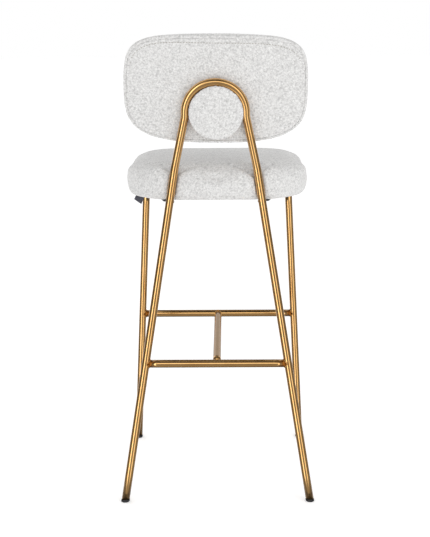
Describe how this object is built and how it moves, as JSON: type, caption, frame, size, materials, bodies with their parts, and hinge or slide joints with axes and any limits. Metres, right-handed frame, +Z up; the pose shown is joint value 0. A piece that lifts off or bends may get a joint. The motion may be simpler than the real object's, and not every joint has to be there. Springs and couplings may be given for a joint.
{
  "type": "bar stool",
  "caption": "Bar stool with upholstered seat and backrest on a bent tube frame, with a footrest of tube bars.",
  "frame": {"origin": "middle of the bounding box on the floor", "axes": "+Z up, the sitter faces -Y, the backrest is on the +Y side, +X is the sitter's left"},
  "size_m": [0.4634, 0.5218, 1.1115],
  "materials": {
    "gold_steel": "brushed gold-tone plating, satin",
    "boucle": "off-white looped boucle",
    "foam": "open-cell foam",
    "plywood": "raw plywood",
    "black_plastic": "matte moulded",
    "zinc_steel": "zinc plated",
    "dust_cloth": "black non-woven",
    "label_tape": "dark grey woven tape, blank"
  },
  "bodies": {
    "root": {"back_board": "plywood", "back_bolt_left": "zinc_steel", "back_bolt_right": "zinc_steel", "back_bolt_top": "zinc_steel", "back_cover": "boucle", "back_foam": "foam", "back_mount_plate": "gold_steel", "back_rear_panel": "boucle", "back_t_nut_left": "zinc_steel", "back_t_nut_right": "zinc_steel", "back_t_nut_top": "zinc_steel", "boss_board": "plywood", "boss_clip_left": "black_plastic", "boss_clip_low": "black_plastic", "boss_clip_right": "black_plastic", "boss_cover": "boucle", "boss_foam": "foam", "footrest_bar_front": "gold_steel", "footrest_bar_rear": "gold_steel", "footrest_tie": "gold_steel", "front_leg_left": "gold_steel", "front_leg_right": "gold_steel", "glide_front_left": "black_plastic", "glide_front_right": "black_plastic", "glide_rear_left": "black_plastic", "glide_rear_right": "black_plastic", "label_tag": "label_tape", "rear_hoop": "gold_steel", "seat_board": "plywood", "seat_cover": "boucle", "seat_dust_cover": "dust_cloth", "seat_foam": "foam", "seat_rail_front": "gold_steel", "seat_rail_left": "gold_steel", "seat_rail_rear": "gold_steel", "seat_rail_right": "gold_steel", "seat_screw_front_left": "zinc_steel", "seat_screw_front_right": "zinc_steel", "seat_screw_rear_left": "zinc_steel", "seat_screw_rear_right": "zinc_steel", "seat_t_nut_front_left": "zinc_steel", "seat_t_nut_front_right": "zinc_steel", "seat_t_nut_rear_left": "zinc_steel", "seat_t_nut_rear_right": "zinc_steel"}
  },
  "joints": []
}
